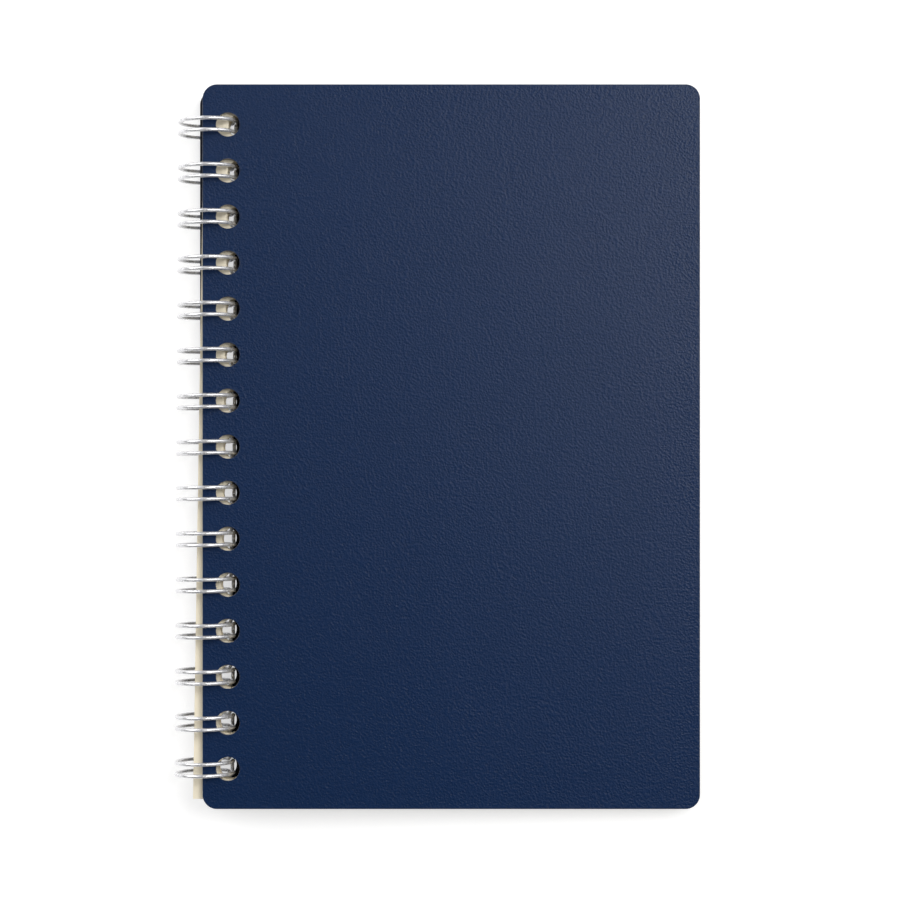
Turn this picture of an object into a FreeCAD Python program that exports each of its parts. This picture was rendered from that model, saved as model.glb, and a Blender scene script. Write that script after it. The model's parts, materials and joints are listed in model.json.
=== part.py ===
import FreeCAD, Part
import math
import os

import Sketcher

# Twin-loop wire-bound notebook, lying on its back: two stiff covers and a block of
# sheets, threaded by their spine holes on one wire that is bent into fifteen double loops.
#
# Lengths are millimetres and angles are degrees. The bench frame, in which the numbers
# below are given, has the loop axis along Y at x = 0 and z = 0, the sheets lying level,
# X running to the fore edge and Z out of the front cover. At the end the whole notebook
# is tipped about the loop axis until it lies on its loops and on the back cover's edge.

os.makedirs("parts", exist_ok=True)
doc = FreeCAD.newDocument("wire_bound_notebook")

# Driving sizes

SIZES = {
    # covers
    "cover_width": 137.3,
    "cover_height": 200.0,
    "cover_thickness": 0.7,
    "cover_corner_radius": 4.0,
    "cover_edge_bevel": 0.12,
    "cover_hole_setback": 7.0,
    "front_rise": 4.7,
    "front_overhang": 0.6,
    "back_drop": 5.75,
    "back_overhang": 2.55,
    # row of holes, shared by the covers, the sheets and the wire
    "hole_pitch": 12.7,
    "hole_end_margin": 8.0,
    "cover_hole_diameter": 6.6,
    "sheet_hole_diameter": 6.6,
    # block of sheets
    "sheet_width": 136.5,
    "sheet_height": 195.0,
    "sheet_hole_offset": 8.15,
    "sheet_hole_setback": 10.05,
    "block_top": 2.8,
    "block_bottom": 3.0,
    "block_skew": 0.9,
    # wire
    "wire_diameter": 1.0,
    "loop_radius": 7.9,
    "leg_spacing": 3.2,
    "bend_radius": 1.1,
    "link_drop": 4.45,
    "tip_drop": 3.35,
    "end_stub": 2.2,
    "wire_skew": 0.32,
    # flats that stand for the round wire and its arcs
    "wire_sides": 6,
    "loop_flats": 14,
    "tip_flats": 3,
    # hinge lines of the covers on the loops, from the loop axis
    "front_hinge_x": -0.25,
    "front_hinge_z": -0.05,
    "back_hinge_x": -0.1,
    "back_hinge_z": 0.0,
    # gap left between a closed cover and the sheets at the fore edge
    "closed_gap": 0.05,
}

sheet = doc.addObject("Spreadsheet::Sheet", "sizes")
for row, (name, value) in enumerate(SIZES.items(), start=1):
    sheet.set("A%d" % row, name)
    sheet.set("B%d" % row, str(value))
    sheet.setAlias("B%d" % row, name)
doc.recompute()


def size(name):
    """Value of a cell of the sheet."""
    return float(sheet.get(name))


# Holes in the row: as many as both the covers and the sheets hold, with the margin left at each end

COUNT_RULE = (
    "floor((min(sizes.cover_height; sizes.sheet_height) - 2 * sizes.hole_end_margin) / sizes.hole_pitch) + 1")
SHORTER_HEIGHT = min(size("cover_height"), size("sheet_height"))
HOLE_COUNT = math.floor((SHORTER_HEIGHT - 2 * size("hole_end_margin")) / size("hole_pitch")) + 1
FIRST_HOLE = -size("hole_pitch") * (HOLE_COUNT - 1) / 2

# Angles worked out from the sizes

def closing_angle(inner_face, block_face, hinge_x, overhang):
    """Angle by which a cover is turned shut about its hinge until its fore edge meets the sheets."""
    fore_edge = size("cover_width") - overhang - hinge_x
    drop = inner_face - block_face - size("closed_gap")
    return math.degrees(math.asin(drop / fore_edge))


HALF_COVER = size("cover_thickness") / 2
FRONT_CLOSING = closing_angle(
    size("front_rise") - HALF_COVER, size("block_top"), size("front_hinge_x"), size("front_overhang"))
BACK_CLOSING = closing_angle(
    size("back_drop") - HALF_COVER, size("block_bottom"), size("back_hinge_x"), size("back_overhang"))


def turned(x, z, angle, pivot=(0.0, 0.0)):
    """Point (x, z) turned about a pivot; a positive angle lifts the fore edge."""
    c = math.cos(math.radians(angle))
    s = math.sin(math.radians(angle))
    dx = x - pivot[0]
    dz = z - pivot[1]
    return pivot[0] + dx * c - dz * s, pivot[1] + dx * s + dz * c


FRONT_HINGE = (size("front_hinge_x"), size("front_hinge_z"))
BACK_HINGE = (size("back_hinge_x"), size("back_hinge_z"))


# Sketch helpers

def origin_plane(body, role):
    for feature in body.Origin.OriginFeatures:
        if feature.Role == role:
            return feature
    raise RuntimeError("no origin plane " + role)


def level_sketch(body, name, height, skew="0"):
    """Sketch on the body's XY plane, lifted to a height and turned within its plane."""
    sketch = body.newObject("Sketcher::SketchObject", name)
    sketch.AttachmentSupport = [(origin_plane(body, "XY_Plane"), "")]
    sketch.MapMode = "FlatFace"
    sketch.AttachmentOffset = FreeCAD.Placement(
        FreeCAD.Vector(0, 0, 0), FreeCAD.Rotation(FreeCAD.Vector(0, 0, -1), size("block_skew") if skew != "0" else 0))
    sketch.setExpression("AttachmentOffset.Base.z", height)
    if skew != "0":
        sketch.setExpression("AttachmentOffset.Rotation.Angle", skew)
    return sketch


def rounded_outline(sketch, left, width, height, radius):
    """Outline with four round corners, from x = left, centred on the X axis."""
    x0 = left
    x1 = left + width
    y1 = height / 2
    straights = [
        (x0 + radius, -y1, x1 - radius, -y1),
        (x1, -y1 + radius, x1, y1 - radius),
        (x1 - radius, y1, x0 + radius, y1),
        (x0, y1 - radius, x0, -y1 + radius),
    ]
    corners = [
        (x1 - radius, -y1 + radius, 270),
        (x1 - radius, y1 - radius, 0),
        (x0 + radius, y1 - radius, 90),
        (x0 + radius, -y1 + radius, 180),
    ]
    up = FreeCAD.Vector(0, 0, 1)
    for (ax, ay, bx, by), (cx, cy, start) in zip(straights, corners):
        sketch.addGeometry(Part.LineSegment(FreeCAD.Vector(ax, ay, 0), FreeCAD.Vector(bx, by, 0)))
        circle = Part.Circle(FreeCAD.Vector(cx, cy, 0), up, radius)
        sketch.addGeometry(Part.ArcOfCircle(circle, math.radians(start), math.radians(start + 90)))
    # lines are geometry 0, 2, 4, 6 and each one runs into the arc that follows it
    for line in (0, 2, 4, 6):
        following = (line + 2) % 8
        sketch.addConstraint(Sketcher.Constraint("Tangent", line, 2, line + 1, 1))
        sketch.addConstraint(Sketcher.Constraint("Tangent", line + 1, 2, following, 1))
    for line in (0, 4):
        sketch.addConstraint(Sketcher.Constraint("Horizontal", line))
    for line in (2, 6):
        sketch.addConstraint(Sketcher.Constraint("Vertical", line))
    for arc in (3, 5, 7):
        sketch.addConstraint(Sketcher.Constraint("Equal", 1, arc))
    named_constraint(sketch, Sketcher.Constraint("Radius", 1, radius), "corner_radius")
    named_constraint(sketch, Sketcher.Constraint("DistanceX", -1, 1, 6, 1, left), "left_edge")
    named_constraint(sketch, Sketcher.Constraint("DistanceX", 6, 1, 2, 1, width), "width")
    named_constraint(sketch, Sketcher.Constraint("DistanceY", 0, 1, 4, 1, height), "height")
    named_constraint(sketch, Sketcher.Constraint("DistanceY", -1, 1, 4, 1, y1), "head_edge")


def square_outline(sketch, left, width, height):
    """Outline with square corners, from x = left, centred on the X axis."""
    x1 = left + width
    y1 = height / 2
    points = [(left, -y1), (x1, -y1), (x1, y1), (left, y1)]
    for (ax, ay), (bx, by) in zip(points, points[1:] + points[:1]):
        sketch.addGeometry(Part.LineSegment(FreeCAD.Vector(ax, ay, 0), FreeCAD.Vector(bx, by, 0)))
    for line in range(4):
        sketch.addConstraint(Sketcher.Constraint("Coincident", line, 2, (line + 1) % 4, 1))
    for line in (0, 2):
        sketch.addConstraint(Sketcher.Constraint("Horizontal", line))
    for line in (1, 3):
        sketch.addConstraint(Sketcher.Constraint("Vertical", line))
    named_constraint(sketch, Sketcher.Constraint("DistanceX", -1, 1, 3, 1, left), "left_edge")
    named_constraint(sketch, Sketcher.Constraint("DistanceX", 0, 1, 0, 2, width), "width")
    named_constraint(sketch, Sketcher.Constraint("DistanceY", 1, 1, 1, 2, height), "height")
    named_constraint(sketch, Sketcher.Constraint("DistanceY", -1, 1, 2, 1, y1), "head_edge")


def named_constraint(sketch, constraint, name):
    index = sketch.addConstraint(constraint)
    sketch.renameConstraint(index, name)


def hole_row(body, base_height, depth, centre_x, diameter, centre_rule, diameter_rule, skew="0"):
    """Punch the first hole of the row, nearest the tail edge, and repeat it up the spine."""
    sketch = level_sketch(body, body.Name + "_hole", base_height, skew)
    middle = FreeCAD.Vector(centre_x, FIRST_HOLE, 0)
    sketch.addGeometry(Part.Circle(middle, FreeCAD.Vector(0, 0, 1), diameter / 2))
    named_constraint(sketch, Sketcher.Constraint("Diameter", 0, diameter), "diameter")
    named_constraint(sketch, Sketcher.Constraint("DistanceX", -1, 1, 0, 3, centre_x), "centre_x")
    named_constraint(sketch, Sketcher.Constraint("DistanceY", 0, 3, -1, 1, -FIRST_HOLE), "below_middle")
    sketch.setExpression("Constraints.diameter", diameter_rule)
    sketch.setExpression("Constraints.centre_x", centre_rule)
    sketch.setExpression("Constraints.below_middle", "sizes.hole_pitch * (%s - 1) / 2" % COUNT_RULE)
    punch = body.newObject("PartDesign::Pocket", body.Name + "_punch")
    punch.Profile = sketch
    punch.Type = "Length"
    punch.Reversed = True
    punch.setExpression("Length", depth)
    doc.recompute()
    row = body.newObject("PartDesign::LinearPattern", body.Name + "_punched_row")
    row.Originals = [punch]
    row.Direction = (sketch, ["V_Axis"])
    row.Mode = "Spacing"
    row.setExpression("Offset", "sizes.hole_pitch")
    row.setExpression("Occurrences", COUNT_RULE)
    body.Tip = row
    doc.recompute()
    return row


# Covers: stiff card with round corners, a softened edge and a row of punched holes

def cover(name, lower_face, overhang_name):
    body = doc.addObject("PartDesign::Body", name)
    body.Label = name
    outline = level_sketch(body, name + "_outline", lower_face)
    rounded_outline(
        outline, -size(overhang_name), size("cover_width"), size("cover_height"), size("cover_corner_radius"))
    outline.setExpression("Constraints.corner_radius", "sizes.cover_corner_radius")
    outline.setExpression("Constraints.left_edge", "-sizes." + overhang_name)
    outline.setExpression("Constraints.width", "sizes.cover_width")
    outline.setExpression("Constraints.height", "sizes.cover_height")
    outline.setExpression("Constraints.head_edge", "sizes.cover_height / 2")
    board = body.newObject("PartDesign::Pad", name + "_board")
    board.Profile = outline
    board.setExpression("Length", "sizes.cover_thickness")
    doc.recompute()
    rims = []
    for index, edge in enumerate(board.Shape.Edges, start=1):
        box = edge.BoundBox
        if box.ZLength < size("cover_thickness") / 2:
            rims.append("Edge%d" % index)
    softened = body.newObject("PartDesign::Chamfer", name + "_softened_edge")
    softened.Base = (board, rims)
    softened.setExpression("Size", "sizes.cover_edge_bevel")
    doc.recompute()
    solid_before = softened.Shape.Volume
    hole_row(
        body, lower_face, "sizes.cover_thickness",
        size("cover_hole_setback") - size(overhang_name), size("cover_hole_diameter"),
        "sizes.cover_hole_setback - sizes." + overhang_name, "sizes.cover_hole_diameter")
    punched = solid_before - body.Shape.Volume
    each = math.pi * size("cover_hole_diameter") ** 2 / 4 * size("cover_thickness")
    if abs(punched - HOLE_COUNT * each) > 0.02 * punched:
        raise RuntimeError(name + ": the punched row is not whole")
    return body


front_cover = cover("front_cover", "sizes.front_rise - sizes.cover_thickness / 2", "front_overhang")
back_cover = cover("back_cover", "-sizes.back_drop - sizes.cover_thickness / 2", "back_overhang")


# Block of sheets: one solid, square cut, sitting slightly askew on the loops

def page_block():
    body = doc.addObject("PartDesign::Body", "page_block")
    body.Label = "page_block"
    bottom = "-sizes.block_bottom"
    spine_edge = size("sheet_hole_offset") - size("sheet_hole_setback")
    outline = level_sketch(body, "page_block_outline", bottom, "sizes.block_skew")
    square_outline(outline, spine_edge, size("sheet_width"), size("sheet_height"))
    outline.setExpression("Constraints.left_edge", "sizes.sheet_hole_offset - sizes.sheet_hole_setback")
    outline.setExpression("Constraints.width", "sizes.sheet_width")
    outline.setExpression("Constraints.height", "sizes.sheet_height")
    outline.setExpression("Constraints.head_edge", "sizes.sheet_height / 2")
    stack = body.newObject("PartDesign::Pad", "page_block_stack")
    stack.Profile = outline
    stack.setExpression("Length", "sizes.block_bottom + sizes.block_top")
    doc.recompute()
    hole_row(
        body, bottom, "sizes.block_bottom + sizes.block_top",
        size("sheet_hole_offset"), size("sheet_hole_diameter"),
        "sizes.sheet_hole_offset", "sizes.sheet_hole_diameter", "sizes.block_skew")
    return body


pages = page_block()


# Wire: one length of wire bent into double loops joined by short links. Its round section
# and its arcs are cut into flats, so that thirty loops stay light.

def polar(radius, angle, y):
    """Point round the loop; the angle goes down from the fore side, towards the back cover."""
    return FreeCAD.Vector(
        radius * math.cos(math.radians(angle)), y, -radius * math.sin(math.radians(angle)))


def tangent(angle):
    """Direction round the loop, from the link end down towards the back cover."""
    return FreeCAD.Vector(-math.sin(math.radians(angle)), 0, -math.cos(math.radians(angle)))


def spread(flats, sweep):
    """Factor that sets the corners of an arc's flats as far outside it as their middles are inside."""
    return (1 + 1 / math.cos(math.radians(sweep / flats / 2))) / 2


ALONG = FreeCAD.Vector(0, 1, 0)
HALF_PAIR = size("leg_spacing") / 2
LINK_RADIUS = math.hypot(size("loop_radius"), size("bend_radius"))
LINK_ANGLE = math.degrees(math.asin(size("link_drop") / LINK_RADIUS))
START_ANGLE = LINK_ANGLE + math.degrees(math.atan2(size("bend_radius"), size("loop_radius")))
TIP_ANGLE = math.degrees(math.asin(size("tip_drop") / math.hypot(size("loop_radius"), HALF_PAIR)))
END_ANGLE = TIP_ANGLE - math.degrees(math.atan2(HALF_PAIR, size("loop_radius"))) + 360


def leg(y):
    """Corners of one leg's flats, from the link end round to the closed tip."""
    flats = int(size("loop_flats"))
    radius = size("loop_radius") * spread(flats, END_ANGLE - START_ANGLE)
    step = (END_ANGLE - START_ANGLE) / flats
    return [polar(radius, START_ANGLE + step * corner, y) for corner in range(flats + 1)]


def tip(y):
    """Corners between the two legs of a loop, round its closed tip."""
    flats = int(size("tip_flats"))
    reach = HALF_PAIR * spread(flats, 180)
    corners = []
    for corner in range(1, flats):
        turn = math.radians(180 * corner / flats)
        side = -reach * math.cos(turn)
        corners.append(polar(size("loop_radius"), END_ANGLE, y + side) + tangent(END_ANGLE) * reach * math.sin(turn))
    return corners


def bend(y, towards):
    """Corner in the middle of the quarter bend between a link and a leg; towards points to the link."""
    slant = size("bend_radius") * (1 - math.sqrt(0.5))
    return polar(LINK_RADIUS, LINK_ANGLE, y) + tangent(START_ANGLE) * slant + ALONG * towards * slant


def wire_corners():
    """Corners of the whole wire's centre line, from the tail end to the head end."""
    reach = HALF_PAIR + size("bend_radius")
    corners = [polar(LINK_RADIUS, LINK_ANGLE, FIRST_HOLE - reach - size("end_stub"))]
    for loop in range(HOLE_COUNT):
        y = FIRST_HOLE + loop * size("hole_pitch")
        corners.append(polar(LINK_RADIUS, LINK_ANGLE, y - reach))
        corners.append(bend(y - HALF_PAIR, -1))
        corners.extend(leg(y - HALF_PAIR))
        corners.extend(tip(y))
        corners.extend(reversed(leg(y + HALF_PAIR)))
        corners.append(bend(y + HALF_PAIR, 1))
        corners.append(polar(LINK_RADIUS, LINK_ANGLE, y + reach))
    corners.append(polar(LINK_RADIUS, LINK_ANGLE, -FIRST_HOLE + reach + size("end_stub")))
    return corners


def mitred_sections(corners):
    """Sections of the wire at each corner, cut on the plane that halves the bend there."""
    sides = int(size("wire_sides"))
    radius = size("wire_diameter") / 2 * spread(sides, 360)
    outward = polar(1, LINK_ANGLE, 0)
    upward = tangent(LINK_ANGLE)
    section = []
    for side in range(sides):
        turn = 2 * math.pi * side / sides
        section.append(corners[0] + outward * radius * math.cos(turn) + upward * radius * math.sin(turn))
    sections = [section]
    for before, here, after in zip(corners, corners[1:], corners[2:] + [None]):
        arriving = (here - before).normalize()
        leaving = (after - here).normalize() if after else arriving
        cut = (arriving + leaving).normalize()
        section = [p + arriving * ((here - p).dot(cut) / arriving.dot(cut)) for p in section]
        sections.append(section)
    return sections


def askew(point):
    """The wire sits slightly askew on the notebook."""
    return FreeCAD.Rotation(FreeCAD.Vector(0, 0, -1), size("wire_skew")).multVec(point)


def wire_binding():
    sections = [[askew(point) for point in section] for section in mitred_sections(wire_corners())]
    faces = [Part.Face(Part.makePolygon(end + end[:1])) for end in (sections[0], sections[-1])]
    for here, following in zip(sections, sections[1:]):
        for a, b, c, d in zip(here, here[1:] + here[:1], following[1:] + following[:1], following):
            faces.append(Part.Face(Part.makePolygon([a, b, c, d, a])))
    shell = Part.makeShell(faces)
    shell.sewShape()
    solid = Part.Solid(shell)
    if solid.Volume < 0:
        solid.reverse()
    feature = doc.addObject("Part::Feature", "wire_binding")
    feature.Label = "wire_binding"
    feature.Shape = solid
    return feature


binding = wire_binding()

# Rest: the notebook lies on the loops' underside and on the lower fore edge of the back cover

def wire_reach(lean):
    """Lowest and leftmost points of the wire with the notebook tipped by an angle."""
    points = [turned(corner.X, corner.Z, lean) for corner in binding.Shape.Vertexes]
    return min(z for x, z in points), min(x for x, z in points)


rear_edge = turned(
    size("cover_width") - size("back_overhang") - size("cover_edge_bevel"),
    -size("back_drop") - HALF_COVER, BACK_CLOSING, BACK_HINGE)
LEAN = 0.0
for _ in range(6):
    ground = wire_reach(LEAN)[0]
    LEAN = -math.degrees(
        math.asin(-ground / math.hypot(rear_edge[0], rear_edge[1])) + math.atan2(rear_edge[1], rear_edge[0]))

fore_corner = turned(
    size("cover_width") - size("front_overhang"), size("front_rise"), -FRONT_CLOSING, FRONT_HINGE)
GROUND, LEFT = wire_reach(LEAN)
MIDDLE = (turned(fore_corner[0], fore_corner[1], LEAN)[0] + LEFT) / 2


def lay_down(piece, angle=0.0, pivot=(0.0, 0.0)):
    """Turn a piece about a pivot of the bench frame, then lay it down with the notebook."""
    shut_x, shut_z = turned(0.0, 0.0, angle, pivot)
    x, z = turned(shut_x, shut_z, LEAN)
    spot = FreeCAD.Vector(x - MIDDLE, 0.0, z - GROUND)
    piece.Placement = FreeCAD.Placement(spot, FreeCAD.Rotation(FreeCAD.Vector(0, -1, 0), angle + LEAN))


lay_down(front_cover, -FRONT_CLOSING, FRONT_HINGE)
lay_down(back_cover, BACK_CLOSING, BACK_HINGE)
lay_down(pages)
lay_down(binding)

# Check and export

doc.recompute()
for item in doc.Objects:
    if "Invalid" in item.State or "Error" in item.State:
        raise RuntimeError(item.Name + " did not build")

for piece in (front_cover, back_cover, pages, binding):
    if piece.Shape.isNull() or not piece.Shape.isValid():
        raise RuntimeError(piece.Label + " has no valid shape")
    if len(piece.Shape.Solids) != 1:
        raise RuntimeError(piece.Label + " is not one solid")
    piece.Shape.exportStep("parts/" + piece.Label + ".step")
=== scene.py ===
import json
import math

import bmesh
import bpy
from bpy.props import FloatProperty, FloatVectorProperty, IntProperty, PointerProperty
from mathutils import Matrix, Vector


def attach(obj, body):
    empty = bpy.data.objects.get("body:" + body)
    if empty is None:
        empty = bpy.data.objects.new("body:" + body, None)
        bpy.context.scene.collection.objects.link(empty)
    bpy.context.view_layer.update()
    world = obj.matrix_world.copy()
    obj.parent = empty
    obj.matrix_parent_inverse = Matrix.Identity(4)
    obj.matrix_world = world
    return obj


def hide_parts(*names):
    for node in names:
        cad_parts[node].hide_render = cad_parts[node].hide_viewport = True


# Twin-loop wire-bound notebook: its visible covers, sheets and wire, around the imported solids.
# The bench frame has the loop axis along Y at x = 0 and z = 0, the sheets lying level, X running
# to the fore edge and Z out of the front cover. The notebook lies on the table tipped about that
# axis.

bl_info = {
    "name": "Wire-bound notebook",
    "version": (1, 0, 0),
    "blender": (4, 5, 0),
    "location": "View3D > Sidebar > Notebook",
    "description": "Builds the covers, sheets and twin-loop wire of a notebook around its solids",
    "category": "Add Mesh",
}

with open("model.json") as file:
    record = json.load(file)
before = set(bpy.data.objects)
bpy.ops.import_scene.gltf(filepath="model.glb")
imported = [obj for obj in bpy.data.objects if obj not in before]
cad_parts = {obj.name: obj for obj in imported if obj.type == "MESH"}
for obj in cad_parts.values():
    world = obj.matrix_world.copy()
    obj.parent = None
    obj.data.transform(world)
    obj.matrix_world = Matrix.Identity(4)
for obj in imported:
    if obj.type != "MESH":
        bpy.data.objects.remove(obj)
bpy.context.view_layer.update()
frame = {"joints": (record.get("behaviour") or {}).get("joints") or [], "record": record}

MM = 0.001


def length(name, millimetres, description):
    return FloatProperty(
        name=name, description=description, default=millimetres * MM, min=0.0,
        unit="LENGTH", subtype="DISTANCE", precision=5)


def colour(name, value, description):
    return FloatVectorProperty(
        name=name, description=description, default=value, min=0.0, max=1.0, size=3,
        subtype="COLOR")


# Sizes and colours

class CoverSettings(bpy.types.PropertyGroup):
    width: length("Width", 137.3, "Width of a cover, across the spine")
    height: length("Height", 200.0, "Height of a cover, along the spine")
    thickness: length("Thickness", 0.7, "Thickness of the card")
    corner_radius: length("Corner radius", 4.0, "Radius of the round corners")
    edge_rounding: length("Edge rounding", 0.12, "Rounding of the cut edge on the outer face")
    hole_setback: length("Hole setback", 7.0, "From the spine edge to the middle of the holes")
    hole_diameter: length("Hole diameter", 6.6, "Diameter of the punched holes")
    front_rise: length("Front rise", 4.7, "Height of the front cover above the loop axis")
    front_overhang: length("Front overhang", 0.6, "Front cover's spine edge beyond the loop axis")
    back_drop: length("Back drop", 5.75, "Depth of the back cover below the loop axis")
    back_overhang: length("Back overhang", 2.55, "Back cover's spine edge beyond the loop axis")
    closed_gap: length(
        "Closed gap", 0.05, "Gap between a closed cover and the sheets at the fore edge")
    face_colour: colour("Face colour", (0.0023, 0.0150, 0.0550), "Colour of the grained outer face")
    lining_colour: colour("Lining colour", (0.007, 0.009, 0.015), "Colour of the inner face")
    core_colour: colour("Core colour", (0.26, 0.26, 0.27), "Colour of the card where it is cut")


class SheetSettings(bpy.types.PropertyGroup):
    width: length("Width", 136.5, "Width of a sheet, across the spine")
    height: length("Height", 195.0, "Height of a sheet, along the spine")
    hole_offset: length("Hole offset", 8.15, "From the loop axis to the middle of the holes")
    hole_setback: length(
        "Hole setback", 10.05, "From the sheets' spine edge to the middle of the holes")
    hole_diameter: length("Hole diameter", 6.6, "Diameter of the punched holes")
    top: length("Top", 2.8, "Top of the block above the loop axis")
    bottom: length("Bottom", 3.0, "Underside of the block below the loop axis")
    skew: FloatProperty(
        name="Skew", description="Turn of the block within its plane", default=math.radians(0.9),
        unit="ROTATION", subtype="ANGLE")
    count: IntProperty(
        name="Sheets", description="Number of sheets in the block", default=56, min=2)
    looseness: length("Looseness", 0.07, "Most that a sheet lies out of line with the block")
    paper_colour: colour("Paper colour", (0.870, 0.790, 0.625), "Colour of the paper")


class WireSettings(bpy.types.PropertyGroup):
    pitch: length("Pitch", 12.7, "Distance from one double loop to the next")
    count: IntProperty(name="Loops", description="Number of double loops", default=15, min=1)
    diameter: length("Diameter", 1.05, "Diameter of the wire")
    loop_radius: length("Loop radius", 7.9, "Radius of a loop, to the middle of the wire")
    leg_spacing: length("Leg spacing", 3.2, "Distance between the two legs of a loop")
    bend_radius: length("Bend radius", 1.1, "Radius of the bend from a link into a leg")
    link_drop: length("Link drop", 4.45, "Depth of the links below the loop axis")
    tip_drop: length("Tip drop", 3.35, "Depth of the closed tips below the loop axis")
    end_stub: length("End stub", 2.2, "Length of wire left past the first and the last loop")
    skew: FloatProperty(
        name="Skew", description="Turn of the whole wire on the notebook",
        default=math.radians(0.32), unit="ROTATION", subtype="ANGLE")
    lean: FloatProperty(
        name="Lean", description="Turn of each loop towards the tail edge",
        default=math.radians(1.4), unit="ROTATION", subtype="ANGLE")
    colour: colour("Wire colour", (0.82, 0.82, 0.835), "Colour of the bright wire")


class StageSettings(bpy.types.PropertyGroup):
    distance: length("Camera distance", 640.0, "Height of the camera above the front cover")
    from_spine: length(
        "From spine edge", 68.3, "From the cover's spine edge to the spot below the camera")
    below_middle: length(
        "Below middle", 11.1, "From the cover's middle down to the spot below the camera")
    picture_width: length("Picture width", 248.3, "Width of the view at the front cover")
    rise: FloatProperty(
        name="View rise", description="Shift of the view up the cover, as a share of its width",
        default=0.041)
    key_power: FloatProperty(
        name="Key light", description="Power of the soft light on the spine side",
        default=22.5, min=0.0)
    sheen_power: FloatProperty(
        name="Sheen light", description="Power of the soft light above the fore edge",
        default=6.0, min=0.0)
    side_power: FloatProperty(
        name="Side light", description="Power of the low soft light beyond the fore edge",
        default=4.5, min=0.0)
    sky: FloatProperty(
        name="Sky", description="Level of the even light all round", default=0.15, min=0.0)


# Places in the bench frame and on the table

FRONT_HINGE = (-0.25 * MM, -0.05 * MM)
BACK_HINGE = (-0.10 * MM, 0.0)


def hinge_spot(name):
    """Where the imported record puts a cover's hinge line, as (x, z)."""
    for joint in frame["joints"]:
        if joint["name"] == name:
            return joint["pos_m"][0], joint["pos_m"][2]
    raise RuntimeError("the record has no joint " + name)


def tilt_of(here, there):
    """Slope of the line from one (x, z) to another."""
    return math.atan2(there[1] - here[1], there[0] - here[0])


FRONT_SPOT = hinge_spot("front_cover_hinge")


def turn(angle):
    """Turn about the Y axis in which a positive angle lifts the fore edge."""
    return Matrix.Rotation(-angle, 4, "Y")


def table_place(settings):
    """From the bench frame to the table: the tip about the loop axis, then the move."""
    covers = settings.covers
    middle = (covers.width / 2 - covers.front_overhang, covers.front_rise)
    tail_edge = frame["record"]["mounts"][0]["pos_m"]
    packed = tilt_of(FRONT_SPOT, (tail_edge[0], tail_edge[2]))
    lean = packed - tilt_of(FRONT_HINGE, middle) - front_closing(settings)
    tipped = turn(lean) @ Vector((FRONT_HINGE[0], 0.0, FRONT_HINGE[1]))
    move = Matrix.Translation((FRONT_SPOT[0] - tipped.x, 0.0, FRONT_SPOT[1] - tipped.z))
    return move @ turn(lean)


def shut(angle, hinge):
    """Turn of a cover about its hinge line, within the bench frame."""
    axis = Vector((hinge[0], 0.0, hinge[1]))
    return Matrix.Translation(axis) @ turn(angle) @ Matrix.Translation(-axis)


def closing_angle(covers, inner_face, block_face, hinge_x, overhang):
    """Turn that brings a cover's fore edge down to its closed gap from the sheets."""
    fore_edge = covers.width - overhang - hinge_x
    return math.asin((inner_face - block_face - covers.closed_gap) / fore_edge)


def front_closing(settings):
    covers = settings.covers
    inner_face = covers.front_rise - covers.thickness / 2
    return -closing_angle(
        covers, inner_face, settings.sheets.top, FRONT_HINGE[0], covers.front_overhang)


def back_closing(settings):
    covers = settings.covers
    inner_face = covers.back_drop - covers.thickness / 2
    return closing_angle(
        covers, inner_face, settings.sheets.bottom, BACK_HINGE[0], covers.back_overhang)


def cover_place(settings, front):
    """From a cover's own level place in the bench frame to where it lies on the table."""
    if front:
        return table_place(settings) @ shut(front_closing(settings), FRONT_HINGE)
    return table_place(settings) @ shut(back_closing(settings), BACK_HINGE)


# Helpers for node trees

def add(tree, kind, inputs=None, **settings):
    """Add a node, set its settings, and fill or link the inputs given by name or number."""
    made = tree.nodes.new(kind)
    for key, value in settings.items():
        setattr(made, key, value)
    for key, value in (inputs or {}).items():
        if isinstance(value, bpy.types.NodeSocket):
            tree.links.new(value, made.inputs[key])
        else:
            made.inputs[key].default_value = value
    return made


def tree_inputs(tree, floats=(), whole=()):
    """Give a tree its named inputs and its geometry output."""
    for name in floats:
        tree.interface.new_socket(name, in_out="INPUT", socket_type="NodeSocketFloat")
    for name in whole:
        tree.interface.new_socket(name, in_out="INPUT", socket_type="NodeSocketInt")
    tree.interface.new_socket("Geometry", in_out="OUTPUT", socket_type="NodeSocketGeometry")
    return tree.nodes.new("NodeGroupInput").outputs


def calc(tree, operation, first, second):
    """One step of arithmetic between two values."""
    return add(tree, "ShaderNodeMath", {0: first, 1: second}, operation=operation).outputs[0]


def weighted(tree, *terms):
    """Sum of values, each times its weight."""
    total = None
    for value, weight in terms:
        part = calc(tree, "MULTIPLY", value, weight)
        total = part if total is None else calc(tree, "ADD", total, part)
    return total


def remapped(tree, value, from_min, from_max, to_min, to_max):
    """A value moved from one range to another, and kept within it."""
    return add(
        tree, "ShaderNodeMapRange",
        {"Value": value, "From Min": from_min, "From Max": from_max,
         "To Min": to_min, "To Max": to_max}).outputs["Result"]


def row_of_spots(tree, count, pitch, offset=0.0):
    """Points a pitch apart along the spine, evenly about its middle."""
    gaps = calc(tree, "SUBTRACT", count, 1.0)
    first = calc(tree, "MULTIPLY", calc(tree, "MULTIPLY", pitch, gaps), -0.5)
    start = add(tree, "ShaderNodeCombineXYZ", {"X": offset, "Y": first})
    step = add(tree, "ShaderNodeCombineXYZ", {"Y": pitch})
    return add(
        tree, "GeometryNodeMeshLine",
        {"Count": count, "Start Location": start.outputs[0], "Offset": step.outputs[0]})


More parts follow.
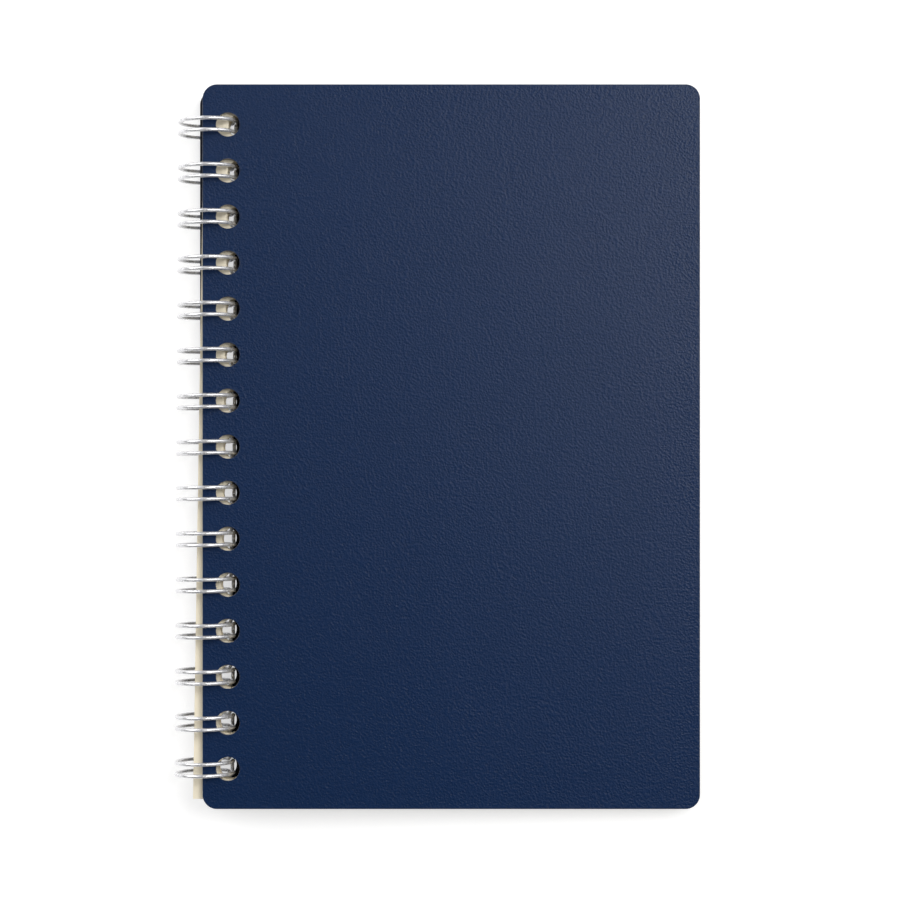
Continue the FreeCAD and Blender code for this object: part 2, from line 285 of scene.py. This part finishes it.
def finished_mesh(name, source, tree, values):
    """Run a tree on an object, keep the result as a plain mesh and drop the modifier."""
    piece = bpy.data.objects.new(name, source)
    bpy.context.collection.objects.link(piece)
    modifier = piece.modifiers.new("shape", "NODES")
    modifier.node_group = tree
    for item in tree.interface.items_tree:
        if item.in_out == "INPUT" and item.name in values:
            modifier[item.identifier] = values[item.name]
    graph = bpy.context.evaluated_depsgraph_get()
    mesh = bpy.data.meshes.new_from_object(piece.evaluated_get(graph))
    piece.modifiers.remove(modifier)
    piece.data = mesh
    mesh.name = name
    if not mesh.polygons:
        raise RuntimeError(name + " came out empty")
    return piece


def place(piece, matrix):
    """Move a piece's mesh; the object itself stays at the origin."""
    piece.data.transform(matrix)
    piece.data.update()


# Materials

def new_material(name, roughness, metallic=0.0, specular=0.5):
    """Material with its tree and its shader, and the socket that gives the spot on the object."""
    material = bpy.data.materials.new(name)
    material.use_nodes = True
    tree = material.node_tree
    shader = tree.nodes["Principled BSDF"]
    shader.inputs["Roughness"].default_value = roughness
    shader.inputs["Metallic"].default_value = metallic
    shader.inputs["Specular IOR Level"].default_value = specular
    spot = tree.nodes.new("ShaderNodeTexCoord").outputs["Object"]
    return material, tree, shader, spot


def noise(tree, spot, size, detail=2.0, roughness=0.5):
    """Noise whose blotches are about a size across."""
    return add(
        tree, "ShaderNodeTexNoise",
        {"Vector": spot, "Scale": 1.0 / size, "Detail": detail, "Roughness": roughness}
    ).outputs["Fac"]


def ramp(tree, factor, stops):
    """Colour that runs through (position, tone) stops."""
    made = add(tree, "ShaderNodeValToRGB", {"Fac": factor})
    elements = made.color_ramp.elements
    while len(elements) < len(stops):
        elements.new(0.5)
    for element, (position, tone) in zip(elements, stops):
        element.position = position
        element.color = (tone[0], tone[1], tone[2], 1.0)
    return made.outputs["Color"]


def toned(base, factor):
    """A colour made lighter or darker."""
    return tuple(min(1.0, channel * factor) for channel in base)


def bump(tree, shader, height, depth, strength=1.0, below=None):
    """Relief of a depth on a shader, over another relief if one is given."""
    inputs = {"Height": height, "Distance": depth, "Strength": strength}
    if below is not None:
        inputs["Normal"] = below
    made = add(tree, "ShaderNodeBump", inputs)
    tree.links.new(made.outputs["Normal"], shader.inputs["Normal"])
    return made.outputs["Normal"]


def grained_face(base):
    """Outer face of the covers: fine leather-like grain pressed into matt navy paper."""
    cell_size, pebble_size, cloud_size, swell_size = 0.65 * MM, 0.45 * MM, 26 * MM, 45 * MM
    grain_depth, swell_depth = 0.12 * MM, 0.5 * MM
    material, tree, shader, spot = new_material("cover_grain", 0.32, specular=0.187)
    cells = add(
        tree, "ShaderNodeTexVoronoi",
        {"Vector": spot, "Scale": 1.0 / cell_size, "Randomness": 1.0, "Smoothness": 0.35},
        feature="SMOOTH_F1").outputs["Distance"]
    pebbles = noise(tree, spot, pebble_size, 3.0, 0.55)
    grain = weighted(tree, (cells, 0.6), (pebbles, 0.7))
    clouds = noise(tree, spot, cloud_size, 3.0)
    mottled = weighted(tree, (grain, 0.8), (clouds, 0.2))
    shade = ramp(
        tree, mottled, ((0.38, toned(base, 0.92)), (0.55, base), (0.75, toned(base, 1.1))))
    tree.links.new(shade, shader.inputs["Base Color"])
    polish = remapped(tree, mottled, 0.3, 0.8, 0.28, 0.36)
    tree.links.new(polish, shader.inputs["Roughness"])
    swell = bump(tree, shader, noise(tree, spot, swell_size, 1.0), swell_depth, 0.5)
    bump(tree, shader, grain, grain_depth, 1.0, swell)
    return material


def lining_paper(base):
    """Inner face of the covers: plain dark paper."""
    fibre_size, fibre_depth = 0.4 * MM, 0.02 * MM
    material, tree, shader, spot = new_material("cover_lining", 0.7, specular=0.2)
    fibres = noise(tree, spot, fibre_size, 4.0, 0.6)
    shade = ramp(tree, fibres, ((0.3, toned(base, 0.75)), (0.7, toned(base, 1.35))))
    tree.links.new(shade, shader.inputs["Base Color"])
    bump(tree, shader, fibres, fibre_depth, 0.5)
    return material


def cut_card(base):
    """Cut edge of the covers: pressed fibres in thin layers."""
    ply_size, ply_depth, drawn_out = 0.12 * MM, 0.02 * MM, (0.12, 0.12, 1.0)
    material, tree, shader, spot = new_material("cover_core", 0.85, specular=0.15)
    layers = add(tree, "ShaderNodeMapping", {"Vector": spot, "Scale": drawn_out})
    plies = noise(tree, layers.outputs["Vector"], ply_size, 3.0, 0.6)
    shade = ramp(tree, plies, ((0.3, toned(base, 0.6)), (0.7, toned(base, 1.3))))
    tree.links.new(shade, shader.inputs["Base Color"])
    bump(tree, shader, plies, ply_depth, 0.6)
    return material


def writing_paper(base):
    """Sheets: uncoated cream paper, each one a shade apart from the next."""
    fibre_size, fibre_depth, cloud_size = 0.5 * MM, 0.015 * MM, 12 * MM
    material, tree, shader, spot = new_material("cream_paper", 0.9, specular=0.2)
    leaf = add(tree, "ShaderNodeAttribute", attribute_name="leaf").outputs["Fac"]
    fibres = noise(tree, spot, fibre_size, 4.0, 0.65)
    clouds = noise(tree, spot, cloud_size, 2.0)
    blend = weighted(tree, (leaf, 0.5), (fibres, 0.25), (clouds, 0.25))
    shade = ramp(
        tree, blend,
        ((0.15, toned(base, 0.84)), (0.5, toned(base, 0.97)), (0.85, toned(base, 1.04))))
    tree.links.new(shade, shader.inputs["Base Color"])
    bump(tree, shader, fibres, fibre_depth, 0.5)
    return material


def drawn_wire(base):
    """Wire: bright drawn metal with faint streaks along its length."""
    streak_size, streak_depth, scuff_size, drawn_out = 0.09 * MM, 0.004 * MM, 1.6 * MM, 0.02
    material, tree, shader, spot = new_material("bright_wire", 0.25, metallic=0.7)
    ring = add(tree, "ShaderNodeAttribute", attribute_name="ring").outputs["Vector"]
    along = add(tree, "ShaderNodeAttribute", attribute_name="along").outputs["Fac"]
    far = add(tree, "ShaderNodeCombineXYZ", {"Z": calc(tree, "MULTIPLY", along, drawn_out)})
    surface = add(
        tree, "ShaderNodeVectorMath", {0: ring, 1: far.outputs["Vector"]}, operation="ADD")
    streaks = noise(tree, surface.outputs["Vector"], streak_size, 3.0, 0.6)
    scuffs = noise(tree, spot, scuff_size, 3.0, 0.6)
    shade = ramp(tree, streaks, ((0.3, toned(base, 0.93)), (0.7, toned(base, 1.05))))
    tree.links.new(shade, shader.inputs["Base Color"])
    polish = remapped(tree, calc(tree, "ADD", streaks, scuffs), 0.7, 1.3, 0.2, 0.36)
    tree.links.new(polish, shader.inputs["Roughness"])
    bump(tree, shader, streaks, streak_depth, 0.2)
    return material


# Covers

def rounded_rectangle(left, right, half_height, radius, steps):
    """Points round a rectangle with round corners, anticlockwise seen from above."""
    points = []
    corners = (
        (right, -half_height, 270), (right, half_height, 0),
        (left, half_height, 90), (left, -half_height, 180))
    for x, y, start in corners:
        middle_x = x - radius if x == right else x + radius
        middle_y = y - radius if y > 0 else y + radius
        for step in range(steps + 1):
            angle = math.radians(start + 90 * step / steps)
            points.append(
                (middle_x + radius * math.cos(angle), middle_y + radius * math.sin(angle)))
    return points


def circle(x, y, radius, steps):
    """Points round a circle, anticlockwise seen from above."""
    points = []
    for step in range(steps):
        angle = 2 * math.pi * step / steps
        points.append((x + radius * math.cos(angle), y + radius * math.sin(angle)))
    return points


OUTER_FACE, LINING_FACE, CUT_FACE = 0, 1, 2
CORNER_STEPS = 14
HOLE_STEPS = 40


def cut_edge(mesh, profile, loop_at):
    """Wall of a cut edge: one ring of points for each step of its profile, joined by faces."""
    rings = []
    for inset, height in profile:
        rings.append([mesh.verts.new((x, y, height)) for x, y in loop_at(inset)])
    walls = []
    for lower, upper in zip(rings, rings[1:]):
        count = len(lower)
        for index in range(count):
            following = (index + 1) % count
            walls.append(mesh.faces.new(
                (lower[index], lower[following], upper[following], upper[index])))
    return rings[0], rings[-1], walls


def punched_board(covers, wire, overhang):
    """Card with round corners and a row of punched holes, outer face up and lining at height 0."""
    mesh = bmesh.new()
    soft = covers.edge_rounding
    thick = covers.thickness
    # Profiles as (inset, height), from the lining up to the rounded edge of the outer face
    edge = ((0.35 * soft, 0.0), (0.1 * soft, 0.1 * soft), (0.0, 0.35 * soft), (0.0, thick - soft),
            (0.13 * soft, thick - 0.5 * soft), (0.5 * soft, thick - 0.13 * soft), (soft, thick))
    punch = ((0.2 * soft, 0.0), (0.0, 0.25 * soft), (0.0, thick - 0.8 * soft),
             (0.25 * soft, thick - 0.25 * soft), (0.8 * soft, thick))
    left = -overhang
    right = left + covers.width

    def outline(inset):
        return rounded_rectangle(
            left + inset, right - inset, covers.height / 2 - inset,
            covers.corner_radius - inset, CORNER_STEPS)

    lower_rings = []
    upper_rings = []
    walls = []

    def cut(profile, loop_at):
        lower, upper, faces = cut_edge(mesh, profile, loop_at)
        lower_rings.append(lower)
        upper_rings.append(upper)
        walls.append((faces, len(lower), len(profile) - 1))

    cut(edge, outline)
    first = -wire.pitch * (wire.count - 1) / 2
    for hole in range(wire.count):
        middle = (covers.hole_setback - overhang, first + hole * wire.pitch)

        def rim(inset, middle=middle):
            return circle(middle[0], middle[1], covers.hole_diameter / 2 + inset, HOLE_STEPS)

        cut(punch, rim)
    for rings, kind in ((lower_rings, LINING_FACE), (upper_rings, OUTER_FACE)):
        edges = []
        for ring in rings:
            for here, following in zip(ring, ring[1:] + ring[:1]):
                edges.append(mesh.edges.get((here, following)))
        filled = bmesh.ops.triangle_fill(mesh, use_beauty=True, edges=edges)
        for item in filled["geom"]:
            if isinstance(item, bmesh.types.BMFace):
                item.material_index = kind
    for faces, around, levels in walls:
        for index, face in enumerate(faces):
            level = index // around
            face.smooth = True
            face.material_index = OUTER_FACE if level == levels - 1 else CUT_FACE
    bmesh.ops.recalc_face_normals(mesh, faces=mesh.faces)
    return mesh


def build_cover(settings, name, front, materials):
    """A cover as its own object; the back one is the same board turned over."""
    covers = settings.covers
    overhang = covers.front_overhang if front else covers.back_overhang
    mesh = punched_board(covers, settings.wire, overhang)
    half = covers.thickness / 2
    if front:
        local = Matrix.Translation((0.0, 0.0, covers.front_rise - half))
    else:
        upside_down = Matrix.Diagonal((1, 1, -1, 1))
        local = Matrix.Translation((0.0, 0.0, -covers.back_drop + half)) @ upside_down
    bmesh.ops.transform(mesh, matrix=cover_place(settings, front) @ local, verts=mesh.verts)
    bmesh.ops.recalc_face_normals(mesh, faces=mesh.faces)
    data = bpy.data.meshes.new(name)
    mesh.to_mesh(data)
    mesh.free()
    for material in materials:
        data.materials.append(material)
    piece = bpy.data.objects.new(name, data)
    bpy.context.collection.objects.link(piece)
    return piece


class NOTEBOOK_OT_covers(bpy.types.Operator):
    """Build the front and the back cover"""
    bl_idname = "notebook.covers"
    bl_label = "Covers"

    def execute(self, context):
        settings = context.scene.notebook
        covers = settings.covers
        materials = (
            grained_face(covers.face_colour), lining_paper(covers.lining_colour),
            cut_card(covers.core_colour))
        front = build_cover(settings, "grained_front_cover", True, materials)
        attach(front, "front")
        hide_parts("front_cover")
        back = build_cover(settings, "grained_back_cover", False, materials)
        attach(back, "back")
        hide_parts("back_cover")
        return {"FINISHED"}


# Sheets

LEAF_HOLE_SIDES = 24
LEAF_WELD = 0.01 * MM
PAPER_SHARE = 0.82
SHEET_SEED = 7
# Socket numbers of the Random Value node
VECTOR_LEAST, VECTOR_MOST, FLOAT_LEAST, FLOAT_MOST, RANDOM_SEED = 0, 1, 2, 3, 8
VECTOR_DRAWN, FLOAT_DRAWN = 0, 1


def sheet_stack_tree(material):
    """Punched sheets laid one on the other, each a little out of line."""
    tree = bpy.data.node_groups.new("sheet_stack", "GeometryNodeTree")
    given = tree_inputs(
        tree,
        ("Sheet width", "Sheet height", "Spine edge", "Hole offset", "Hole radius", "Hole pitch",
         "Sheet thickness", "Sheet spacing", "Looseness"),
        ("Hole count", "Sheet count", "Seed"))
    half_width = calc(tree, "MULTIPLY", given["Sheet width"], 0.5)
    middle = add(
        tree, "ShaderNodeCombineXYZ", {"X": calc(tree, "ADD", given["Spine edge"], half_width)})
    outline = add(
        tree, "GeometryNodeCurvePrimitiveQuadrilateral",
        {"Width": given["Sheet width"], "Height": given["Sheet height"]})
    outline = add(
        tree, "GeometryNodeTransform",
        {"Geometry": outline.outputs[0], "Translation": middle.outputs[0]})
    spots = row_of_spots(tree, given["Hole count"], given["Hole pitch"], given["Hole offset"])
    rim = add(
        tree, "GeometryNodeCurvePrimitiveCircle",
        {"Resolution": LEAF_HOLE_SIDES, "Radius": given["Hole radius"]})
    row = add(
        tree, "GeometryNodeInstanceOnPoints",
        {"Points": spots.outputs[0], "Instance": rim.outputs[0]})
    row = add(tree, "GeometryNodeRealizeInstances", {"Geometry": row.outputs[0]})
    lines = tree.nodes.new("GeometryNodeJoinGeometry")
    for part in (outline, row):
        tree.links.new(part.outputs[0], lines.inputs[0])
    leaf = add(tree, "GeometryNodeFillCurve", {"Curve": lines.outputs[0]}, mode="NGONS")
    raised = add(
        tree, "GeometryNodeExtrudeMesh",
        {"Mesh": leaf.outputs[0], "Offset Scale": given["Sheet thickness"], "Individual": False})
    under = add(tree, "GeometryNodeFlipFaces", {"Mesh": leaf.outputs[0]})
    both = tree.nodes.new("GeometryNodeJoinGeometry")
    for part in (raised, under):
        tree.links.new(part.outputs[0], both.inputs[0])
    leaf = add(
        tree, "GeometryNodeMergeByDistance", {"Geometry": both.outputs[0], "Distance": LEAF_WELD})
    lift = add(tree, "ShaderNodeCombineXYZ", {"Z": given["Sheet spacing"]})
    levels = add(
        tree, "GeometryNodeMeshLine", {"Count": given["Sheet count"], "Offset": lift.outputs[0]})
    stack = add(
        tree, "GeometryNodeInstanceOnPoints",
        {"Points": levels.outputs[0], "Instance": leaf.outputs[0]})
    inward = calc(tree, "MULTIPLY", given["Looseness"], -1.0)
    least = add(tree, "ShaderNodeCombineXYZ", {"X": inward, "Y": inward})
    most = add(tree, "ShaderNodeCombineXYZ", {"X": given["Looseness"], "Y": given["Looseness"]})
    stray = add(
        tree, "FunctionNodeRandomValue",
        {VECTOR_LEAST: least.outputs[0], VECTOR_MOST: most.outputs[0], RANDOM_SEED: given["Seed"]},
        data_type="FLOAT_VECTOR")
    stack = add(
        tree, "GeometryNodeTranslateInstances",
        {"Instances": stack.outputs[0], "Translation": stray.outputs[VECTOR_DRAWN]})
    tone = add(
        tree, "FunctionNodeRandomValue",
        {FLOAT_LEAST: 0.0, FLOAT_MOST: 1.0, RANDOM_SEED: calc(tree, "ADD", given["Seed"], 1.0)},
        data_type="FLOAT")
    stack = add(
        tree, "GeometryNodeStoreNamedAttribute",
        {"Geometry": stack.outputs[0], "Name": "leaf", "Value": tone.outputs[FLOAT_DRAWN]},
        data_type="FLOAT", domain="INSTANCE")
    whole = add(tree, "GeometryNodeRealizeInstances", {"Geometry": stack.outputs[0]})
    whole = add(
        tree, "GeometryNodeSetMaterial", {"Geometry": whole.outputs[0], "Material": material})
    add(tree, "NodeGroupOutput", {"Geometry": whole.outputs[0]})
    return tree


class NOTEBOOK_OT_sheets(bpy.types.Operator):
    """Build the block of punched sheets"""
    bl_idname = "notebook.sheets"
    bl_label = "Sheets"

    def execute(self, context):
        settings = context.scene.notebook
        sheets = settings.sheets
        spacing = (sheets.top + sheets.bottom) / sheets.count
        values = {
            "Sheet width": sheets.width,
            "Sheet height": sheets.height,
            "Spine edge": sheets.hole_offset - sheets.hole_setback,
            "Hole offset": sheets.hole_offset,
            "Hole radius": sheets.hole_diameter / 2,
            "Hole pitch": settings.wire.pitch,
            "Sheet thickness": spacing * PAPER_SHARE,
            "Sheet spacing": spacing,
            "Looseness": sheets.looseness,
            "Hole count": settings.wire.count,
            "Sheet count": sheets.count,
            "Seed": SHEET_SEED,
        }
        tree = sheet_stack_tree(writing_paper(sheets.paper_colour))
        source = bpy.data.meshes.new("sheet_block_source")
        block = finished_mesh("sheet_block", source, tree, values)
        lowered = Matrix.Translation((0.0, 0.0, -sheets.bottom))
        askew = lowered @ Matrix.Rotation(-sheets.skew, 4, "Z")
        place(block, table_place(settings) @ askew)
        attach(block, "bound_block")
        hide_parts("page_block")
        return {"FINISHED"}


# Wire

BEND_STEPS, RING_STEPS, TIP_STEPS = 7, 62, 14
WIRE_SIDES = 16
LOOP_WELD = 0.02 * MM
# Distance from a loop's fore side at which its lean begins
LEAN_START = 1.5 * MM
# Socket numbers of the Trim Curve node's two lengths
TRIM_START, TRIM_END = 4, 5


def on_loop(radius, angle, y):
    """Point round the loop; the angle goes down from the fore side, towards the back cover."""
    return Vector((radius * math.cos(angle), y, -radius * math.sin(angle)))


def loop_path(wire):
    """Centre line of one double loop, from the middle of one link to the middle of the next."""
    half = wire.leg_spacing / 2
    bend = wire.bend_radius
    link_radius = math.hypot(wire.loop_radius, bend)
    link_angle = math.asin(wire.link_drop / link_radius)
    start = link_angle + math.atan2(bend, wire.loop_radius)
    tip_angle = math.asin(wire.tip_drop / math.hypot(wire.loop_radius, half))
    end = tip_angle - math.atan2(half, wire.loop_radius) + 2 * math.pi
    away = Vector((-math.sin(start), 0.0, -math.cos(start)))
    onward = Vector((-math.sin(end), 0.0, -math.cos(end)))
    points = [on_loop(link_radius, link_angle, -wire.pitch / 2)]
    corner = on_loop(link_radius, link_angle, -half - bend)
    for step in range(BEND_STEPS):
        angle = 0.5 * math.pi * step / BEND_STEPS
        sideways = Vector((0.0, bend * math.sin(angle), 0.0))
        points.append(corner + sideways + away * bend * (1 - math.cos(angle)))
    for step in range(RING_STEPS + 1):
        angle = start + (end - start) * step / RING_STEPS
        points.append(on_loop(wire.loop_radius, angle, -half))
    to_tip = len(points)
    middle = on_loop(wire.loop_radius, end, 0.0)
    for step in range(1, TIP_STEPS):
        angle = math.pi * step / TIP_STEPS
        sideways = Vector((0.0, -half * math.cos(angle), 0.0))
        points.append(middle + sideways + onward * half * math.sin(angle))
    points.extend([Vector((point.x, -point.y, point.z)) for point in reversed(points[:to_tip])])
    # The legs lean more the further they are from the holes; the ends stay, where loops join.
    joined = wire.pitch / 2 - 0.001 * MM
    for point in points:
        if abs(point.y) < joined:
            point.y -= math.tan(wire.lean) * max(0.0, wire.loop_radius - LEAN_START - point.x)
    return points


def path_mesh(points):
    """Mesh of nothing but a line through the points."""
    data = bpy.data.meshes.new("loop_path")
    data.from_pydata(points, [(index, index + 1) for index in range(len(points) - 1)], [])
    return data


def wire_tree(material):
    """One double loop repeated along the spine, joined into one line and given a round section."""
    tree = bpy.data.node_groups.new("twin_loop_wire", "GeometryNodeTree")
    tree.interface.new_socket("Loop path", in_out="INPUT", socket_type="NodeSocketGeometry")
    given = tree_inputs(
        tree, ("Loop pitch", "Wire radius", "End cut"), ("Loop count", "Section sides"))
    spots = row_of_spots(tree, given["Loop count"], given["Loop pitch"])
    row = add(
        tree, "GeometryNodeInstanceOnPoints",
        {"Points": spots.outputs[0], "Instance": given["Loop path"]})
    row = add(tree, "GeometryNodeRealizeInstances", {"Geometry": row.outputs[0]})
    line = add(
        tree, "GeometryNodeMergeByDistance", {"Geometry": row.outputs[0], "Distance": LOOP_WELD})
    line = add(tree, "GeometryNodeMeshToCurve", {"Mesh": line.outputs[0]})
    whole = add(tree, "GeometryNodeCurveLength", {"Curve": line.outputs[0]}).outputs[0]
    until = calc(tree, "SUBTRACT", whole, given["End cut"])
    line = add(
        tree, "GeometryNodeTrimCurve",
        {"Curve": line.outputs[0], TRIM_START: given["End cut"], TRIM_END: until}, mode="LENGTH")
    run = tree.nodes.new("GeometryNodeSplineParameter")
    line = add(
        tree, "GeometryNodeStoreNamedAttribute",
        {"Geometry": line.outputs[0], "Name": "along", "Value": run.outputs["Length"]},
        data_type="FLOAT", domain="POINT")
    section = add(
        tree, "GeometryNodeCurvePrimitiveCircle",
        {"Resolution": given["Section sides"], "Radius": given["Wire radius"]})
    where = tree.nodes.new("GeometryNodeInputPosition")
    section = add(
        tree, "GeometryNodeStoreNamedAttribute",
        {"Geometry": section.outputs[0], "Name": "ring", "Value": where.outputs[0]},
        data_type="FLOAT_VECTOR", domain="POINT")
    tube = add(
        tree, "GeometryNodeCurveToMesh",
        {"Curve": line.outputs[0], "Profile Curve": section.outputs[0], "Fill Caps": True})
    tube = add(
        tree, "GeometryNodeSetShadeSmooth", {"Geometry": tube.outputs[0], "Shade Smooth": True})
    tube = add(tree, "GeometryNodeRealizeInstances", {"Geometry": tube.outputs[0]})
    tube = add(tree, "GeometryNodeSetMaterial", {"Geometry": tube.outputs[0], "Material": material})
    add(tree, "NodeGroupOutput", {"Geometry": tube.outputs[0]})
    return tree


class NOTEBOOK_OT_wire(bpy.types.Operator):
    """Build the wire with its double loops"""
    bl_idname = "notebook.wire"
    bl_label = "Wire"

    def execute(self, context):
        settings = context.scene.notebook
        wire = settings.wire
        values = {
            "Loop pitch": wire.pitch,
            "Wire radius": wire.diameter / 2,
            "End cut": wire.pitch / 2 - wire.leg_spacing / 2 - wire.bend_radius - wire.end_stub,
            "Loop count": wire.count,
            "Section sides": WIRE_SIDES,
        }
        tree = wire_tree(drawn_wire(wire.colour))
        piece = finished_mesh("twin_loop_wire", path_mesh(loop_path(wire)), tree, values)
        place(piece, table_place(settings) @ Matrix.Rotation(-wire.skew, 4, "Z"))
        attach(piece, "bound_block")
        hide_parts("wire_binding")
        return {"FINISHED"}


# Stage

WHITE = (1.0, 1.0, 1.0, 1.0)
FLOOR_REACH = 4.0
# Lamps: name, place in metres, width in metres and the setting of its power. All face the notebook.
LAMPS = (
    ("key_light", (-1.20, 0.75, 1.15), 1.7, "key_power"),
    ("sheen_light", (0.42, 0.25, 0.93), 0.55, "sheen_power"),
    ("side_light", (0.95, 0.40, 0.62), 0.9, "side_power"))


def pale_floor():
    """Plain floor that reads white to the eye and in reflections, and keeps the soft shadow."""
    near, far = 0.2, 1.4
    near_glow, far_glow = 0.63, 1.0
    seen_grey, bounce_grey = (0.5, 0.5, 0.5, 1.0), (0.8, 0.8, 0.8, 1.0)
    material = bpy.data.materials.new("pale_floor")
    material.use_nodes = True
    tree = material.node_tree
    tree.nodes.clear()
    path = tree.nodes.new("ShaderNodeLightPath").outputs
    seen = calc(tree, "ADD", path["Is Camera Ray"], path["Is Glossy Ray"])
    seen = add(
        tree, "ShaderNodeMath", {0: seen, 1: path["Is Transmission Ray"]},
        operation="ADD", use_clamp=True).outputs[0]
    spot = tree.nodes.new("ShaderNodeTexCoord").outputs["Object"]
    away = add(tree, "ShaderNodeVectorMath", {0: spot}, operation="LENGTH").outputs["Value"]
    level = remapped(tree, away, near, far, near_glow, far_glow)
    glow = add(tree, "ShaderNodeEmission", {"Color": WHITE, "Strength": level})
    lit = add(tree, "ShaderNodeBsdfDiffuse", {"Color": seen_grey})
    shown = tree.nodes.new("ShaderNodeAddShader")
    tree.links.new(glow.outputs[0], shown.inputs[0])
    tree.links.new(lit.outputs[0], shown.inputs[1])
    plain = add(tree, "ShaderNodeBsdfDiffuse", {"Color": bounce_grey})
    mix = add(tree, "ShaderNodeMixShader", {0: seen})
    tree.links.new(plain.outputs[0], mix.inputs[1])
    tree.links.new(shown.outputs[0], mix.inputs[2])
    end = tree.nodes.new("ShaderNodeOutputMaterial")
    tree.links.new(mix.outputs[0], end.inputs["Surface"])
    return material


def area_light(name, spot, size, power):
    """Round soft lamp that faces the notebook."""
    data = bpy.data.lights.new(name, "AREA")
    data.shape = "DISK"
    data.size = size
    data.energy = power
    lamp = bpy.data.objects.new(name, data)
    lamp.location = spot
    lamp.rotation_euler = (-Vector(spot)).to_track_quat("-Z", "Y").to_euler()
    bpy.context.collection.objects.link(lamp)


def set_world(level):
    """Even light all round, seen as plain white."""
    world = bpy.data.worlds.new("even_light")
    world.use_nodes = True
    tree = world.node_tree
    back = tree.nodes["Background"]
    path = tree.nodes.new("ShaderNodeLightPath").outputs
    strength = add(
        tree, "ShaderNodeMix", {"Factor": path["Is Camera Ray"], "A": level, "B": 1.0},
        data_type="FLOAT")
    back.inputs["Color"].default_value = WHITE
    tree.links.new(strength.outputs[0], back.inputs["Strength"])
    bpy.context.scene.world = world


def set_camera(settings):
    """Camera straight above the front cover, square to it."""
    stage = settings.stage
    covers = settings.covers
    upright = cover_place(settings, True)
    foot = Vector((
        stage.from_spine - covers.front_overhang, -stage.below_middle,
        covers.front_rise + covers.thickness / 2))
    data = bpy.data.cameras.new("camera")
    data.sensor_width = 36.0
    data.lens = data.sensor_width * stage.distance / stage.picture_width
    data.shift_y = stage.rise
    data.clip_end = 10.0
    camera = bpy.data.objects.new("camera", data)
    bpy.context.collection.objects.link(camera)
    camera.matrix_world = upright @ Matrix.Translation(foot + Vector((0.0, 0.0, stage.distance)))
    bpy.context.scene.camera = camera


class NOTEBOOK_OT_stage(bpy.types.Operator):
    """Lay the floor and set the lights and the camera"""
    bl_idname = "notebook.stage"
    bl_label = "Stage"

    def execute(self, context):
        settings = context.scene.notebook
        stage = settings.stage
        data = bpy.data.meshes.new("floor")
        corners = ((-1, -1), (1, -1), (1, 1), (-1, 1))
        data.from_pydata(
            [(x * FLOOR_REACH, y * FLOOR_REACH, 0.0) for x, y in corners], [], [(0, 1, 2, 3)])
        data.materials.append(pale_floor())
        floor = bpy.data.objects.new("floor", data)
        bpy.context.collection.objects.link(floor)
        for name, spot, size, power in LAMPS:
            area_light(name, spot, size, getattr(stage, power))
        set_world(stage.sky)
        set_camera(settings)
        context.scene.view_settings.view_transform = "Standard"
        return {"FINISHED"}


# Add-on

class NotebookSettings(bpy.types.PropertyGroup):
    covers: PointerProperty(type=CoverSettings)
    sheets: PointerProperty(type=SheetSettings)
    wire: PointerProperty(type=WireSettings)
    stage: PointerProperty(type=StageSettings)


class NOTEBOOK_PT_panel(bpy.types.Panel):
    bl_label = "Notebook"
    bl_idname = "NOTEBOOK_PT_panel"
    bl_space_type = "VIEW_3D"
    bl_region_type = "UI"
    bl_category = "Notebook"

    def draw(self, context):
        settings = context.scene.notebook
        groups = (
            (settings.covers, "notebook.covers"), (settings.sheets, "notebook.sheets"),
            (settings.wire, "notebook.wire"), (settings.stage, "notebook.stage"))
        for group, operator in groups:
            box = self.layout.box()
            box.operator(operator)
            for name in group.__annotations__:
                box.prop(group, name)


CLASSES = (
    CoverSettings, SheetSettings, WireSettings, StageSettings, NotebookSettings,
    NOTEBOOK_OT_covers, NOTEBOOK_OT_sheets, NOTEBOOK_OT_wire, NOTEBOOK_OT_stage,
    NOTEBOOK_PT_panel)


def register():
    for item in CLASSES:
        bpy.utils.register_class(item)
    bpy.types.Scene.notebook = PointerProperty(type=NotebookSettings)


def unregister():
    del bpy.types.Scene.notebook
    for item in reversed(CLASSES):
        bpy.utils.unregister_class(item)


def main():
    register()
    bpy.ops.notebook.covers()
    bpy.ops.notebook.sheets()
    bpy.ops.notebook.wire()
    bpy.ops.notebook.stage()


if __name__ == "__main__":
    main()
